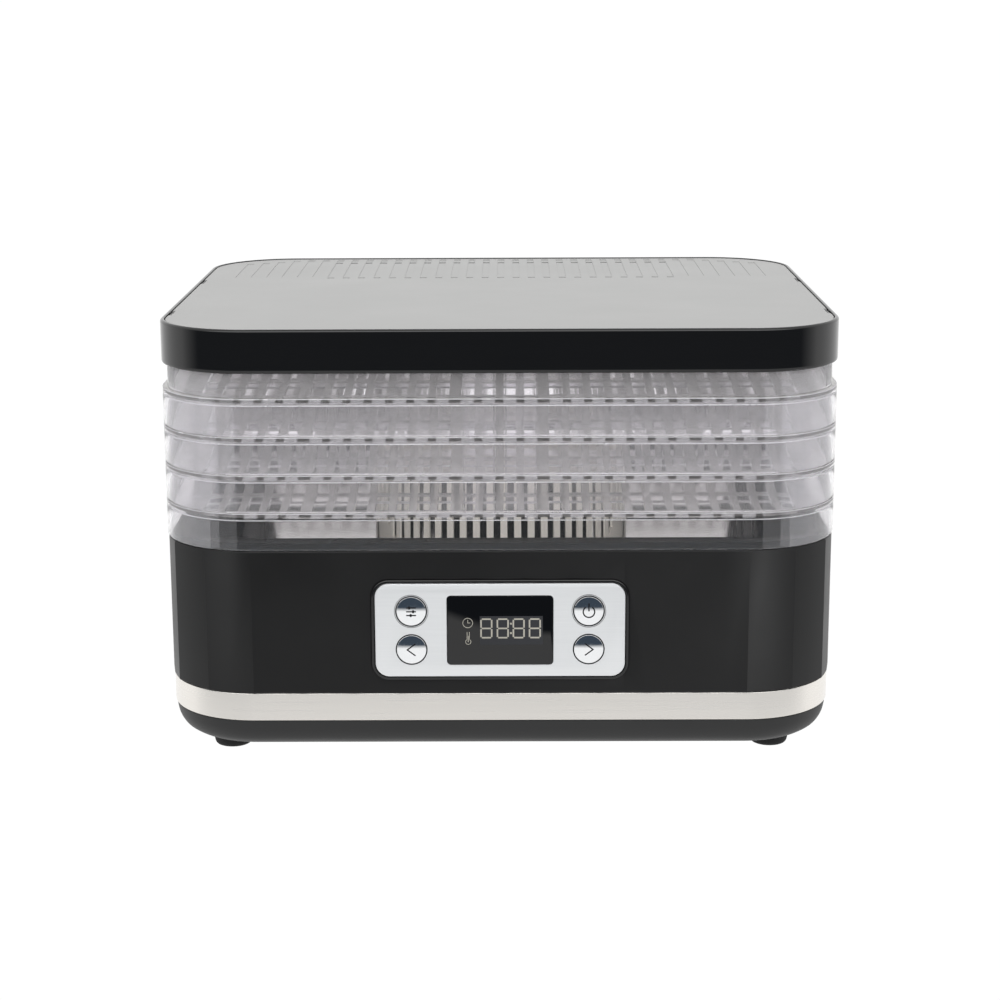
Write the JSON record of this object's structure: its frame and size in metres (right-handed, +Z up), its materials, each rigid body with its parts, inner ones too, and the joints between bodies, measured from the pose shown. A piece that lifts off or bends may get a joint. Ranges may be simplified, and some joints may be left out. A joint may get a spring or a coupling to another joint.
{
  "type": "food dehydrator",
  "caption": "Rectangular countertop food dehydrator: a heated fan base with a button panel, stacked clear trays with slotted floors, and a vented lift-off lid.",
  "frame": {"origin": "on the surface that the feet stand on, under the middle of the body", "axes": "+Z up, -Y towards the front with the control panel, +X to the right seen from the front"},
  "size_m": [0.335, 0.288, 0.219],
  "materials": {
    "black_plastic": "moulded black ABS with a fine satin grain",
    "gloss_black": "polished black plastic",
    "lid_grey": "satin silver-grey top plate",
    "clear_tray": "clear moulded polycarbonate with a faint cool tint",
    "steel": "bright stainless steel",
    "silver": "silver satin fascia with a fine horizontal brush",
    "chrome": "mirror chrome caps",
    "rubber": "matt black rubber",
    "board_green": "glass-epoxy board under green solder mask",
    "ceramic": "unglazed ceramic",
    "dark_metal": "zinc-plated or oxidised metal"
  },
  "bodies": {
    "base": {"base_shell": "black_plastic", "trim_band": "steel", "bottom_cover": "black_plastic", "cord_gland": "rubber", "top_deck": "gloss_black", "reflector_plate": "steel", "heater_guard": "steel", "heating_element": "dark_metal", "heater_support_left": "ceramic", "heater_support_right": "ceramic", "motor_bracket": "steel", "fan_motor": "dark_metal", "power_board": "board_green", "transformer": "dark_metal", "relay": "black_plastic", "thermal_cutoff": "ceramic", "temperature_sensor": "steel", "panel_bezel": "black_plastic", "fascia_plate": "silver", "display_window": "gloss_black", "control_board": "board_green", "display_module": "black_plastic", "foot_front_left": "rubber", "case_screw_front_left": "dark_metal", "foot_front_right": "rubber", "case_screw_front_right": "dark_metal", "foot_rear_left": "rubber", "case_screw_rear_left": "dark_metal", "foot_rear_right": "rubber", "case_screw_rear_right": "dark_metal", "set_switch": "dark_metal", "down_switch": "dark_metal", "power_switch": "dark_metal", "up_switch": "dark_metal"},
    "fan": {"motor_shaft": "steel", "fan_impeller": "black_plastic"},
    "lid": {"lid_frame": "gloss_black", "lid_panel": "lid_grey"},
    "tray_1": {"tray_1": "clear_tray"},
    "tray_2": {"tray_2": "clear_tray"},
    "tray_3": {"tray_3": "clear_tray"},
    "tray_4": {"tray_4": "clear_tray"},
    "set_button": {"set_button": "chrome"},
    "down_button": {"down_button": "chrome"},
    "power_button": {"power_button": "chrome"},
    "up_button": {"up_button": "chrome"}
  },
  "joints": [
    {"name": "fan_spin", "type": "hinge", "parent": "base", "child": "fan", "pos_m": [0, 0, 0.094], "axis": [0, 0, 1], "continuous": true},
    {"name": "tray_1_lift", "type": "slide", "parent": "base", "child": "tray_1", "axis": [0, 0, 1], "range_m": [0, 0.04]},
    {"name": "tray_2_lift", "type": "slide", "parent": "tray_1", "child": "tray_2", "axis": [0, 0, 1], "range_m": [0, 0.04]},
    {"name": "tray_3_lift", "type": "slide", "parent": "tray_2", "child": "tray_3", "axis": [0, 0, 1], "range_m": [0, 0.04]},
    {"name": "tray_4_lift", "type": "slide", "parent": "tray_3", "child": "tray_4", "axis": [0, 0, 1], "range_m": [0, 0.04]},
    {"name": "lid_lift", "type": "slide", "parent": "tray_4", "child": "lid", "axis": [0, 0, 1], "range_m": [0, 0.06]},
    {"name": "set_press", "type": "slide", "parent": "base", "child": "set_button", "axis": [0, 1, 0], "range_m": [0, 0.0008], "stiffness_N_per_m": 800, "springref_m": -0.0012},
    {"name": "down_press", "type": "slide", "parent": "base", "child": "down_button", "axis": [0, 1, 0], "range_m": [0, 0.0008], "stiffness_N_per_m": 800, "springref_m": -0.0012},
    {"name": "power_press", "type": "slide", "parent": "base", "child": "power_button", "axis": [0, 1, 0], "range_m": [0, 0.0008], "stiffness_N_per_m": 800, "springref_m": -0.0012},
    {"name": "up_press", "type": "slide", "parent": "base", "child": "up_button", "axis": [0, 1, 0], "range_m": [0, 0.0008], "stiffness_N_per_m": 800, "springref_m": -0.0012}
  ]
}
